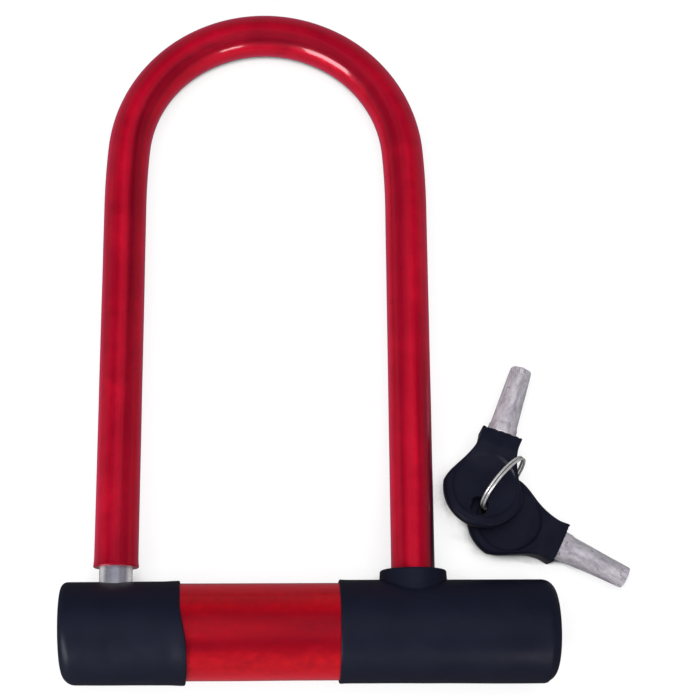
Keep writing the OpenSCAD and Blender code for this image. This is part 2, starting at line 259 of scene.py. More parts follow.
def stretched(tree, vector, scale):
    return put(tree, "VectorMath", vector, scale, settings={"operation": "MULTIPLY"})


def relief(tree, height, distance, normal=None):
    """Bump of a height that runs over 0..1, in metres of depth."""
    return put(tree, "Bump", Height=height, Distance=distance, Strength=1.0, Normal=normal)


def paint_gap_shade(tree, colour, reach, depth):
    """Painted shade: darkens a colour where the surface is closed in within reach metres, by depth at the
    most.
    """
    light = put(tree, "AmbientOcclusion", out=1, Distance=reach, settings={"samples": 8})
    shade = remap(tree, light, 0.15, 0.8, depth, 0.0)
    return blend_colour(tree, shade, colour, (0.004, 0.004, 0.006))


def finish_surface(tree, **inputs):
    shader = put(tree, "BsdfPrincipled", **inputs)
    put(tree, "OutputMaterial", shader)


def object_coordinates(tree):
    return put(tree, "TexCoord", out=3)


# ---------------------------------------------------------------- materials

STAIN_SCALE = 140.0     # clouds on bare metal, per metre
GAP_REACH = 0.006       # width of the gaps where metal gets painted shade, in metres


def band_around(tree, straight, radius, angle, width):
    """Line along a straightened tube at an angle around it: 1 on the line, 0 at width to both sides.

    Angle and width are in degrees.
    """
    way = tuple(f(math.radians(angle)) / (radius * MM) for f in (math.cos, math.sin)) + (0.0,)
    along = put(tree, "VectorMath", straight, way, out=1, settings={"operation": "DOT_PRODUCT"})
    return remap(tree, along, math.cos(math.radians(width)), 1.0)


def red_sleeve_material(name, radius, dark_reflection_bands, bright, edge, mottle_scale, streak_across, streak_along,
                        calm=0.0, dark_reflection_shades=()):
    """Translucent red plastic drawn over bright metal: a tinted metal-like depth under a clear wet skin.

    bands are painted dark reflections along the tube: angle, width, depth, and the arc length past which
    they show;
    shades are painted dark reflections as well, nearly black, and lie over the painted edge sheen too.
    calm evens out the mottling.
    """
    material, tree = new_material(name)
    straight = put(tree, "Attribute", out=1, settings={"attribute_name": "straight"})
    streak_space = stretched(tree, straight, (streak_across, streak_across, streak_along))
    streaks = grain(tree, streak_space, 1.0, 3.0, 0.55)
    blotches = grain(tree, straight, mottle_scale, 4.0, 0.62, 0.4)
    specks = grain(tree, straight, mottle_scale * 9, 2.0, 0.5)
    tone = math_node(tree, "ADD", math_node(tree, "MULTIPLY", streaks, 0.6),
                     math_node(tree, "MULTIPLY", blotches, 0.4))
    tone = remap(tree, tone, 0.1 - calm, 0.85 + calm)
    along = put(tree, "SeparateXYZ", straight, out=2)
    # painted dark reflections: each band darkens the tone along a line round the tube
    for angle, width, depth, start in dark_reflection_bands:
        band = math_node(tree, "MULTIPLY", band_around(tree, straight, radius, angle, width), depth)
        band = math_node(tree, "MULTIPLY", band, remap(tree, along, start - 0.03, start + 0.03))
        band = math_node(tree, "MULTIPLY", band, remap(tree, blotches, 0.25, 0.6, 0.45, 1.0))
        tone = math_node(tree, "SUBTRACT", tone, band)
    tone = put(tree, "Clamp", tone)
    colour = blend_colour(tree, tone, RED_DARK, bright)
    speck = tuple(c * 0.6 for c in RED_DARK)
    colour = blend_colour(tree, remap(tree, specks, 0.62, 0.8, 0.0, 0.3), colour, speck)
    # painted sheen: seen at a flat angle the colour turns to the brighter edge colour, standing in for a
    # reflection of the pale floor
    facing = put(tree, "LayerWeight", 0.5, out=1)
    colour = blend_colour(tree, remap(tree, facing, 0.3, 0.9, 0.0, 0.8), colour, edge)
    # painted dark reflections, nearly black, laid over the painted edge sheen
    for angle, width, depth, start in dark_reflection_shades:
        shade = math_node(tree, "MULTIPLY", band_around(tree, straight, radius, angle, width),
                          remap(tree, along, start - 0.04, start + 0.05, 0.0, depth))
        colour = blend_colour(tree, shade, colour, RED_SHADE)
    under = relief(tree, streaks, 0.00015)
    skin = relief(tree, blotches, 0.00004)
    finish_surface(
        tree, Base_Color=colour, Metallic=0.4, Roughness=remap(tree, blotches, 0.3, 0.7, 0.3, 0.42),
        Normal=under, Specular_IOR_Level=0.15,
        Coat_Weight=1.0, Coat_Roughness=0.1, Coat_IOR=1.5, Coat_Normal=skin,
    )
    return material


def vinyl_material(name, colour, roughness):
    """Soft black vinyl: satin, faintly wavy, a fine skin grain, and a little dust."""
    material, tree = new_material(name)
    where = object_coordinates(tree)
    cloud = grain(tree, where, 60.0, 3.0)
    skin = grain(tree, where, 1600.0, 2.0)
    waves = grain(tree, where, 120.0, 1.0)
    dust_cell = put(tree, "TexVoronoi", Vector=where, Scale=95.0, settings={"feature": "F1"})
    dust = math_node(tree, "LESS_THAN", dust_cell, 0.022)
    patch = math_node(tree, "GREATER_THAN", grain(tree, where, 45.0, 0.0), 0.56)
    dust = math_node(tree, "MULTIPLY", dust, patch)
    base = blend_colour(tree, cloud, tuple(c * 0.8 for c in colour), tuple(c * 1.25 for c in colour))
    base = blend_colour(tree, dust, base, (0.25, 0.25, 0.27))
    bump = relief(tree, skin, 0.00002, relief(tree, waves, 0.0003))
    finish_surface(
        tree, Base_Color=base, Roughness=remap(tree, cloud, 0.3, 0.7, roughness - 0.05, roughness + 0.06),
        Specular_IOR_Level=0.18, Normal=bump,
    )
    return material


def moulded_material(name, colour, roughness):
    """Moulded black plastic with a fine spark-eroded grain, rubbed a little smoother in places."""
    material, tree = new_material(name)
    where = object_coordinates(tree)
    rubbed = grain(tree, where, 130.0, 4.0)
    pores = grain(tree, where, 2600.0, 1.5)
    base = blend_colour(tree, rubbed, tuple(c * 0.75 for c in colour), tuple(c * 1.3 for c in colour))
    finish_surface(
        tree, Base_Color=base,
        Roughness=remap(tree, rubbed, 0.35, 0.65, roughness - 0.07, roughness + 0.07),
        Specular_IOR_Level=0.3, Normal=relief(tree, pores, 0.00003),
    )
    return material


def metal_material(name, colour, stain, roughness, lines=(1.0, 1.0, 1.0), line_scale=900.0,
                   line_depth=0.00001, metallic=1.0, vector_name=None, edge=None,
                   painted_gap_shade=0.0):
    """Bare or plated metal with machining or drawing lines and clouded stains.

    lines squeezes the line pattern, edge is a painted sheen, the colour put where the surface is seen at a
    flat angle, and painted_gap_shade is the share of the colour taken away by painted shade in gaps.
    """
    material, tree = new_material(name)
    if vector_name:
        where = put(tree, "Attribute", out=1, settings={"attribute_name": vector_name})
    else:
        where = object_coordinates(tree)
    marks = grain(tree, stretched(tree, where, lines), line_scale, 3.0, 0.6)
    clouds = grain(tree, where, STAIN_SCALE, 4.0, 0.6, 0.3)
    base = blend_colour(tree, remap(tree, clouds, 0.35, 0.7), colour, stain)
    base = blend_colour(tree, remap(tree, marks, 0.3, 0.75, 0.0, 0.5), base, tuple(c * 0.6 for c in stain))
    if edge:
        # painted sheen: the colour turns to the edge colour where the surface is seen at a flat angle
        facing = put(tree, "LayerWeight", 0.5, out=1)
        base = blend_colour(tree, remap(tree, facing, 0.15, 0.5), base, edge)
    # painted shade: the colour is darkened where gaps close the surface in
    if painted_gap_shade:
        base = paint_gap_shade(tree, base, GAP_REACH, painted_gap_shade)
    finish_surface(
        tree, Base_Color=base, Metallic=metallic,
        Roughness=remap(tree, clouds, 0.3, 0.7, roughness * 0.8, roughness * 1.3),
        Normal=relief(tree, marks, line_depth),
    )
    return material


def cast_zinc_material(name, light, dark):
    """Dull die-cast zinc: pale, pitted, clouded with bluish oxide and rubbed along the shank."""
    material, tree = new_material(name)
    where = put(tree, "Attribute", out=1, settings={"attribute_name": "straight"})
    clouds = grain(tree, stretched(tree, where, (1.0, 1.0, 0.35)), 260.0, 5.0, 0.62, 0.8)
    fine = grain(tree, stretched(tree, where, (1.0, 1.0, 0.5)), 1100.0, 3.0, 0.6)
    pits = grain(tree, where, 620.0, 2.0, 0.5)
    tone = math_node(tree, "ADD", math_node(tree, "MULTIPLY", clouds, 0.75),
                     math_node(tree, "MULTIPLY", fine, 0.25))
    base = blend_colour(tree, remap(tree, tone, 0.32, 0.72), light, dark)
    base = blend_colour(tree, remap(tree, pits, 0.64, 0.76, 0.0, 0.7), base, tuple(c * 0.35 for c in dark))
    # painted shade in the cuts and grooves of the shank
    base = paint_gap_shade(tree, base, 0.0012, 0.75)
    bump = relief(tree, fine, 0.00003, relief(tree, pits, 0.00012))
    finish_surface(tree, Base_Color=base, Metallic=0.45, Roughness=remap(tree, fine, 0.3, 0.7, 0.42, 0.6),
                   Normal=bump)
    return material


# RED_SHADE is the near-black of the painted dark reflections
RED_DARK, RED_SHADE = (0.15, 0.001, 0.010), (0.045, 0.002, 0.014)
# the edge colours are painted sheen, put where a tube is seen at a flat angle
LEG_BRIGHT, LEG_EDGE_SHEEN = (0.74, 0.003, 0.030), (1.0, 0.006, 0.110)
BAND_BRIGHT, BAND_EDGE_SHEEN = (0.82, 0.003, 0.011), (0.95, 0.006, 0.045)
EVERYWHERE = -9.0       # an arc length before the start of any tube
# the dark lines given to each sleeve are painted dark reflections
red_leg = red_sleeve_material("red_sleeve", SLEEVE_R, [(114, 34, 0.28, EVERYWHERE), (59, 24, 0.38, 0.15)],
                              LEG_BRIGHT, LEG_EDGE_SHEEN, 70.0, 220.0, 4.0, dark_reflection_shades=[(16, 36, 1.2, 0.19)])
red_band = red_sleeve_material("red_band", BAND_R, [(96, 34, 0.36, EVERYWHERE)],
                               BAND_BRIGHT, BAND_EDGE_SHEEN, 300.0, 110.0, 16.0, calm=0.3)
vinyl = vinyl_material("black_vinyl", (0.0056, 0.0064, 0.0150), 0.46)
bow_plastic = moulded_material("bow_plastic", (0.0050, 0.0056, 0.0130), 0.38)
zinc = cast_zinc_material("key_zinc", (0.74, 0.69, 0.75), (0.34, 0.32, 0.38))
# the plating's white edge colour is a painted sheen
plating = metal_material("zinc_plating", (0.36, 0.36, 0.41), (0.20, 0.20, 0.26), 0.26,
                         lines=(1.0, 1.0, 0.03), line_scale=420.0, line_depth=0.0001, metallic=0.35,
                         vector_name="straight", edge=(1.0, 1.0, 1.0))
# the ring is darkened with painted shade where the bows' holes close it in
nickel = metal_material("ring_nickel", (0.92, 0.92, 0.93), (0.78, 0.76, 0.74), 0.2, line_scale=500.0,
                        metallic=0.6, painted_gap_shade=0.95)
tube_steel = metal_material("drawn_steel", (0.55, 0.56, 0.58), (0.36, 0.36, 0.38), 0.34,
                            lines=(0.05, 1.0, 1.0))
pin_steel = metal_material("ground_steel", (0.62, 0.63, 0.65), (0.45, 0.45, 0.47), 0.24,
                           lines=(1.0, 1.0, 0.1))
bolt_steel = metal_material("hard_steel", (0.45, 0.46, 0.49), (0.25, 0.25, 0.28), 0.3,
                            lines=(0.2, 1.0, 1.0))
brass = metal_material("turned_brass", (0.75, 0.55, 0.24), (0.55, 0.38, 0.16), 0.26,
                       lines=(1.0, 0.1, 0.1))
cylinder_face = metal_material("nickel_on_brass", (0.74, 0.72, 0.66), (0.62, 0.52, 0.34), 0.22,
                               line_scale=1200.0)
die_cast = metal_material("die_cast_zinc", (0.48, 0.49, 0.51), (0.32, 0.32, 0.35), 0.5, line_scale=420.0,
                          line_depth=0.00008)


# ---------------------------------------------------------------- the U: sleeve and bar

SHOULDER_R = 298.0          # gentle bend that leads each leg into the crown
SHOULDER = math.radians(4.6)
CROWN_R = (LEG_X - SHOULDER_R * (1 - math.cos(SHOULDER))) / math.cos(SHOULDER)
CROWN_LENGTH = CROWN_R * (math.pi / 2 - SHOULDER)
SHOULDER_LENGTH = SHOULDER_R * SHOULDER
LEG_TOP = CROWN_Y - CROWN_R + (CROWN_R - SHOULDER_R) * math.sin(SHOULDER)


def u_point(s):
    """Point and outward normal of the U's centre line at arc length s from the crown's top.

    The right leg is on the positive side.
    """
    side, run = math.copysign(1, s), abs(s)
    if run <= CROWN_LENGTH:
        turn = run / CROWN_R
        x, y = CROWN_R * math.sin(turn), CROWN_Y - CROWN_R + CROWN_R * math.cos(turn)
    elif run <= CROWN_LENGTH + SHOULDER_LENGTH:
        turn = math.pi / 2 - SHOULDER + (run - CROWN_LENGTH) / SHOULDER_R
        x = LEG_X - SHOULDER_R + SHOULDER_R * math.sin(turn)
        y = LEG_TOP + SHOULDER_R * math.cos(turn)
    else:
        turn = math.pi / 2
        x, y = LEG_X, LEG_TOP - (run - CROWN_LENGTH - SHOULDER_LENGTH)
    return Vector((side * x, y, 0)), Vector((side * math.sin(turn), math.cos(turn), 0))


def leg_length(y):
    """Arc length from the crown's top to height y on a leg."""
    return CROWN_LENGTH + SHOULDER_LENGTH + LEG_TOP - y


def u_ring(s, radius, count):
    """Section of the U at arc length s, and the same section on the straightened tube."""
    centre, out = u_point(s)
    ring, flat = [], []
    for a in angles(count):
        r = radius(s, a) if callable(radius) else radius
        ring.append(centre + out * r * math.cos(a) + Vector((0, 0, r * math.sin(a))))
        flat.append((r * math.cos(a), r * math.sin(a), s))
    return ring, flat


def stations(start, stop, step):
    count = max(2, round(abs(stop - start) / step))
    return [start + (stop - start) * i / count for i in range(count + 1)]


def build_sleeve():
    """Sleeve of the U: a thick soft tube, a little uneven, with rounded cut ends, the left one belled."""
    count, lip = 64, 0.45
    wall_in = BAR_R + 0.08
    left_cut = 23.1     # height of the left end, which leaves the bar's foot bare
    start, stop = -leg_length(left_cut), leg_length(sleeve_lo.y)

    def outer(s, a):
        bell = 0.28 * math.exp(-(((s - start) / 1.6) ** 2))
        wave = ripple(Vector((9 * math.cos(a), 9 * math.sin(a), s * 0.35)), 7.0, 0.045)
        return SLEEVE_R - 0.03 + bell + wave

    rows = [(s, outer) for s in stations(start + lip, stop - lip, 1.6)]
    for end, way in ((stop, 1), (start, -1)):
        rim = [(end - way * lip * (1 - math.sin(t)), lip * (1 - math.cos(t)))
               for t in (math.radians(d) for d in range(15, 91, 15))]
        rows += [(s, (lambda s, a, d=d: outer(s, a) - d)) for s, d in rim]
        if way == 1:
            rows += [(s, wall_in) for s in stations(stop, start, 1.6)]
    # the rim at the start was walked from the outside in, so it is turned round to close the loop
    rows[-6:] = rows[-6:][::-1]
    made = [u_ring(s, r, count) for s, r in rows]
    shape = loft([ring for ring, _ in made], closed=True)
    straight = [v for _, flat in made for v in flat]
    return piece("red_shackle_sleeve", shape, red_leg, "shackle", ["shackle_sleeve"],
                 straight)


def build_bar():
    """Plated steel bar: chamfered feet, and the notch for the bolt in the right leg."""
    count, chamfer = 56, 1.2
    foot = leg_length(bar_lo.y)
    rows = [(-foot, BAR_R - chamfer), (-foot + chamfer * 0.9, BAR_R - 0.08), (-foot + chamfer * 1.2, BAR_R)]
    rows += [(s, BAR_R) for s in stations(-foot + 2, foot - 2, 2.0)]
    rows += [(foot - chamfer * 1.2, BAR_R), (foot - chamfer * 0.9, BAR_R - 0.08), (foot, BAR_R - chamfer)]
    made = [u_ring(s, r, count) for s, r in rows]
    straight = [v for _, flat in made for v in flat]
    shape = loft([ring for ring, _ in made], ends=(True, True))
    bar = piece("plated_bar", shape, plating, "shackle", ["shackle_bar"], straight)
    notch_floor, notch_low, notch_high = 2.8, -8.3, -1.0    # floor is measured out from the leg's axis
    past = 2 * BAR_R
    notch = slab((LEG_X + notch_floor, notch_low, -past), (LEG_X + past, notch_high, past))
    combine(bar, "DIFFERENCE", notch)
    return bar


def slab(low, high):
    """Box between two corners."""
    corners = [(x, y, z) for x in (low[0], high[0]) for y in (low[1], high[1]) for z in (low[2], high[2])]
    faces = [(0, 1, 3, 2), (4, 6, 7, 5), (0, 4, 5, 1), (2, 3, 7, 6), (0, 2, 6, 4), (1, 5, 7, 3)]
    return corners, faces


def leg_cutter(x, radius, low, high):
    """Plain drill along +Y at a given x, from a low to a high y."""
    return lathe([(low, radius), (high, radius)], about_y(x), 64)


# ---------------------------------------------------------------- crossbar: band, caps, collar

def build_band():
    """Red sleeve of the crossbar tube, slightly uneven, with the holes for the two legs."""
    left, right, lip = band_lo.x, band_hi.x, 0.4
    inner = BAND_R - 1.2
    xs = stations(left + lip, right - lip, 1.5)
    profile = [(x, BAND_R) for x in xs] + arc(right - lip, BAND_R - lip, lip, 75, 0, 5)
    profile += [(right, inner + 0.1), (right - 0.1, inner)]
    profile += [(x, inner) for x in stations(right - 1, left + 1, 8)]
    profile += [(left + 0.1, inner), (left, inner + 0.1)] + arc(left + lip, BAND_R - lip, lip, 180, 105, 5)

    def place(s, r, a):
        wave = ripple(Vector((s * 0.4, 20 * math.cos(a), 20 * math.sin(a))), 9.0, 0.05)
        return about_x(s, r + (wave - 0.03 if r > inner + 0.5 else 0), a)

    shape = lathe(profile, place, 128, closed=True)
    straight = [(v.y, v.z, v.x) for v in shape[0]]
    band = piece("red_crossbar_sleeve", shape, red_band, "lock_body", ["crossbar_sleeve"],
                 straight)
    for x in (-LEG_X, LEG_X):
        combine(band, "DIFFERENCE", leg_cutter(x, LEG_HOLE_R + 0.3, 0, 2 * BAND_R))
    return band


def left_rim(a):
    """Where the left cap's rim lies at an angle about the crossbar: cut askew, longest below the top."""
    turn = math.degrees(a) % 360
    if turn > 180:
        return -28.2 - 2.4 * smoothstep(190, 350, turn)
    return (-30.6 + 0.6 * smoothstep(0, 60, turn) + 2.7 * smoothstep(55, 118, turn)
            - 0.9 * smoothstep(140, 180, turn))


def build_left_cap():
    """Left cap: a soft cup with uneven rounding at its closed end and a lip that stands off the band."""
    end, inner = left_lo.x, BAND_R + 0.06
    bottom = band_lo.x - 0.06

    def place(s, r, a):
        """s runs from 0 at the closed end to 1 at the rim."""
        return about_x(end + s * (left_rim(a) - end), r, a)

    def fillet(a):
        return 3.7 - 1.2 * math.cos(a)

    def askew(r, a):
        """The closed end leans out towards the crown."""
        return -0.55 * r * math.cos(a) / LEFT_CAP_R

    def sag(a):
        """The soft skin sits a little low on the tube."""
        return -0.3 * math.cos(a)

    def loose(a):
        """How far the lip stands off the band; it gapes in front."""
        return 0.1 + 0.45 * max(0.0, math.cos(a - math.radians(112))) ** 6

    def wall(s, a):
        swell = 0.15 * smoothstep(0.1, 0.8, s) + (0.15 + loose(a)) * smoothstep(0.84, 1.0, s)
        soft = ripple(Vector((s * 40, 18 * math.cos(a), 18 * math.sin(a))), 14.0, 0.09)
        return LEFT_CAP_R - 0.6 + swell + soft + sag(a)

    count = 144
    rings = []

    def on_end(out, r, a):
        """A point of the closed end, out from its plane."""
        return about_x(end + out + askew(r, a), r, a)

    for f in (0.02, 0.25, 0.5, 0.75, 0.92):
        rings.append([on_end(0.12 * f * f, f * (wall(0, a) - fillet(a)), a) for a in angles(count)])
    for deg in range(0, 91, 10):
        t = math.radians(deg)
        rings.append([on_end(fillet(a) * (1 - math.cos(t)), wall(0, a) - fillet(a) * (1 - math.sin(t)), a)
                      for a in angles(count)])
    for s in [0.16 + 0.8 * i / 36 for i in range(37)]:
        rings.append([place(s, wall(s, a), a) for a in angles(count)])

    def lip(a):
        """Half thickness of the rounded lip."""
        return (wall(1.0, a) - inner - loose(a)) / 2

    for deg in range(0, 181, 20):
        t = math.radians(deg)
        rings.append([about_x(left_rim(a) - lip(a) * (1 - math.sin(t)),
                              wall(1.0, a) - lip(a) * (1 - math.cos(t)), a) for a in angles(count)])
    for back in (1.0, 2.5, 5.0, 8.0):
        rings.append([about_x(left_rim(a) - lip(a) - back,
                              inner + loose(a) * (1 - smoothstep(0, 8, back)), a) for a in angles(count)])
    for x in stations(left_rim(0) - 12, bottom + 0.2, 6):
        rings.append([about_x(x, inner, a) for a in angles(count)])
    rings.append([about_x(bottom, inner - 0.2, a) for a in angles(count)])
    rings.append([about_x(bottom, 0.3, a) for a in angles(count)])
    shape = loft(rings, ends=(True, True))
    cap = piece("left_vinyl_cap", shape, vinyl, "lock_body", ["left_cap"])
    flare = [(0, LEG_HOLE_R), (LEFT_CAP_R - 1.0, LEG_HOLE_R), (LEFT_CAP_R - 0.4, LEG_HOLE_R + 0.1),
             (LEFT_CAP_R, LEG_HOLE_R + 0.45), (LEFT_CAP_R + 2, LEG_HOLE_R + 2.6)]
    combine(cap, "DIFFERENCE", lathe(flare, about_y(-LEG_X), 72))
    return cap


def build_right_cap():
    """Right cap: longer cup with a rounded end, a keyway in it and a soft lip at its rim."""
    rim, end, inner = right_lo.x, right_hi.x, BAND_R + 0.06
    fillet, thick, hole = 5.0, 0.5, 6.3
    bottom = band_hi.x + 0.06
    profile = [(rim + thick, inner)] + arc(rim + thick, inner + thick, thick, 270, 180, 5)[1:]
    profile += arc(rim + thick, RIGHT_CAP_R - thick, thick, 180, 90, 5)
    profile += line((rim + thick, RIGHT_CAP_R), (end - fillet, RIGHT_CAP_R), 44)
    profile += arc(end - fillet, RIGHT_CAP_R - fillet, fillet, 90, 0, 10)[1:]
    profile += line((end, RIGHT_CAP_R - fillet), (end, hole + 1.0), 4)
    profile += arc(end - 0.8, hole + 0.8, 0.8, 0, -90, 5) + [(bottom + 0.1, hole), (bottom, hole + 0.1)]
    profile += line((bottom, hole + 0.1), (bottom, inner), 4)
    profile += line((bottom, inner), (rim + thick + 1, inner), 20)

    def place(s, r, a):
        soft = ripple(Vector((s, 18 * math.cos(a), 18 * math.sin(a))), 15.0, 0.07) if r > inner + 0.7 else 0
        lip = 0.16 * math.exp(-(((s - rim - 0.9) / 1.1) ** 2)) if r > inner + 0.6 else 0
        dome = 0.0 if s < end - 0.2 else 0.1 * (1 - (r / RIGHT_CAP_R) ** 2)
        low = 0.22 * (1 - math.cos(a)) * smoothstep(rim, end, s)
        return about_x(s - 0.1 + dome, r - 0.05 + soft + lip + low if r > inner + 0.6 else r, a)

    shape = lathe(profile, place, 144, closed=True)
    cap = piece("right_vinyl_cap", shape, vinyl, "lock_body", ["right_cap"])
    combine(cap, "DIFFERENCE", leg_cutter(LEG_X, COLLAR_R - 1.5, 0, 2 * RIGHT_CAP_R))
    return cap


def build_collar():
    """Collar that stands on the right cap around the leg: drafted wall, soft top edge, saddle base."""
    top, hole, spigot = collar_hi.y, SLEEVE_R + 0.18, COLLAR_R - 1.55
    count = 112
    round_out, round_in, draft = 0.7, 0.5, 0.12
    shoulder = top - round_out
    centre = about_y(LEG_X)

    def saddle(r, a, lift):
        """Height of the cap's surface under a point of the collar."""
        return math.sqrt((RIGHT_CAP_R + lift) ** 2 - (r * math.sin(a)) ** 2)

    base = ((hole, -1.0), (spigot, -1.0), (spigot, 0.06), (COLLAR_R + 0.1, 0.06), (COLLAR_R + 0.02, 0.3))
    rings = [[centre(saddle(r, a, lift), r, a) for a in angles(count)] for r, lift in base]
    for share in (0.3, 0.6, 0.85, 1.0):
        rings.append([centre(saddle(COLLAR_R, a, 0.3) + share * (shoulder - saddle(COLLAR_R, a, 0.3)),
                             COLLAR_R - draft * share, a) for a in angles(count)])
    for s, r in arc(shoulder, COLLAR_R - draft - round_out, round_out, 75, 0, 5):
        rings.append([centre(s + ripple(Vector((r * math.cos(a), s, r * math.sin(a))), 8.0, 0.08), r, a)
                      for a in angles(count)])
    for s, r in [(top, hole + 1.6)] + arc(top - round_in, hole + round_in, round_in, 0, -90, 4):
        rings.append([centre(s, r, a) for a in angles(count)])
    shape = loft(rings, closed=True)
    return piece("leg_collar", shape, vinyl, "lock_body", ["shackle_collar"])


# ---------------------------------------------------------------- keys

BOW_R, BOW_HALF_T = 15.4, 2.4
NECK_END, NECK_HALF_W, NECK_HALF_T = 21.3, 7.5, 5.3
FLANK_START, FLANK_END = -2.0, 17.5
RING_HOLE_X, RING_HOLE_R = -7.9, 3.5
FACE_R, FACE_SINK = 11.9, 0.4
KEY_TIP, STEM_START, STEM_R, BORE_R = 49.0, 13.0, 3.5, 3.0
KEY_CUTS = [1.0, 2.2, 1.6, 2.8, 1.3, 2.5, 1.9]


def bow_half_width(x):
    wave = 1 + math.cos(math.pi * (min(x, FLANK_END) + 4) / (FLANK_END + 4))
    return NECK_HALF_W + (BOW_R - NECK_HALF_W) / 2 * wave + 0.3 * smoothstep(FLANK_END, NECK_END, x)


def bow_outline():
    """Closed outline of the bow: round plate, S flanks and neck end, symmetric about its axis."""
    turn = math.acos(FLANK_START / BOW_R)
    steps = 72
    flank = [(x, bow_half_width(x)) for x in stations(FLANK_START, NECK_END - 0.5, 0.32)][1:]
    across = bow_half_width(NECK_END) - 0.45
    end = [(NECK_END - 0.1, across + 0.3)] + [(NECK_END, across * (1 - i / 20)) for i in range(20)]
    upper = [(BOW_R * math.cos(t), BOW_R * math.sin(t)) for t in
             (math.pi - (math.pi - turn) * i / steps for i in range(1, steps + 1))] + flank + end
    return [(-BOW_R, 0.0)] + upper + [(NECK_END, 0.0)] + [(x, -y) for x, y in reversed(upper)]


def bow_height(x, y):
    """Half thickness of the bow at a point: sunk face inside a thin bead, rising to the neck."""
    neck = (NECK_HALF_T - BOW_HALF_T) * smoothstep(6.0, 16.0, x)
    r = math.hypot(x, y)
    inside = 1 - smoothstep(FACE_R - 0.35, FACE_R + 0.25, r)
    bead = 0.14 * math.exp(-(((r - FACE_R - 0.7) / 0.4) ** 2))
    return BOW_HALF_T - 0.12 + neck * (1 - 0.2 * inside) - FACE_SINK * inside + bead


def build_bow(name, joint, body, node, seed):
    """Black moulded bow of a key, both faces alike, drilled for the ring and for the key's stem."""
    outline = bow_outline()
    spine_end = 15.0
    inner_rows = 44

    def edge(x):
        """Radius of the rounded rim: full on the plate, tighter on the neck."""
        return 1.5 - 0.8 * smoothstep(4.0, 14.0, x) - 0.25 * smoothstep(19.0, 21.0, x)

    def spine(p):
        """Nearest place to an outline point on the bow's own axis."""
        return Vector((min(max(p[0], 0.0), spine_end), 0.0))

    def reach(p):
        return (Vector(p) - spine(p)).length

    def point(p, inset, drop, side):
        """Point of a face, inset from the outline towards the spine and dropped below the face."""
        q = spine(p) + (Vector(p) - spine(p)) * ((reach(p) - inset) / reach(p))
        frayed = p[0] > NECK_END - 0.3
        ragged = 0.45 * noise.noise(Vector((p[1] * 1.7, side * 3.0, seed))) if frayed else 0.0
        z = (bow_height(q.x, q.y) - drop) * side
        return (q.x + ragged, q.y, z)

    rings = []
    for side in (1, -1):
        half = []
        for i in range(inner_rows + 1):
            share = i / inner_rows
            half.append([point(p, (1 - share) * (reach(p) - edge(p[0])) + edge(p[0]), 0.0, side)
                         for p in outline])
        for deg in (18, 36, 54, 72, 90):
            t = math.radians(deg)
            half.append([point(p, edge(p[0]) * (1 - math.sin(t)), edge(p[0]) * (1 - math.cos(t)), side)
                         for p in outline])
        rings += half if side == 1 else half[::-1]
    shape = loft(rings)
    place = key_place(*key_frame(joint))
    verts = [place @ Vector(v) for v in shape[0]]
    bow = piece(name, (verts, shape[1]), bow_plastic, body, [node])
    flare = [(-6, RING_HOLE_R + 5.1), (-2.2, RING_HOLE_R + 0.45), (-1.9, RING_HOLE_R + 0.18),
             (-1.6, RING_HOLE_R + 0.04), (-1.2, RING_HOLE_R)]
    profile = flare + [(-s, r) for s, r in reversed(flare)]

    def about_hole(s, r, a):
        return place @ Vector((RING_HOLE_X + r * math.cos(a), r * math.sin(a), s))

    ring_hole = lathe(profile, about_hole, 64)
    stem_hole = lathe([(STEM_START - 0.1, STEM_R + 0.06), (NECK_END + 2, STEM_R + 0.06)],
                      lambda s, r, a: place @ about_x(s, r, a), 48)
    combine(bow, "DIFFERENCE", ring_hole, stem_hole)
    return bow


def key_place(hole, x, y, z):
    """Matrix from a key's own frame, with the bow's centre at the origin, to the row frame."""
    origin = hole - x * RING_HOLE_X
    return Matrix.Translation(origin) @ Matrix((x, y, z)).transposed().to_4x4()


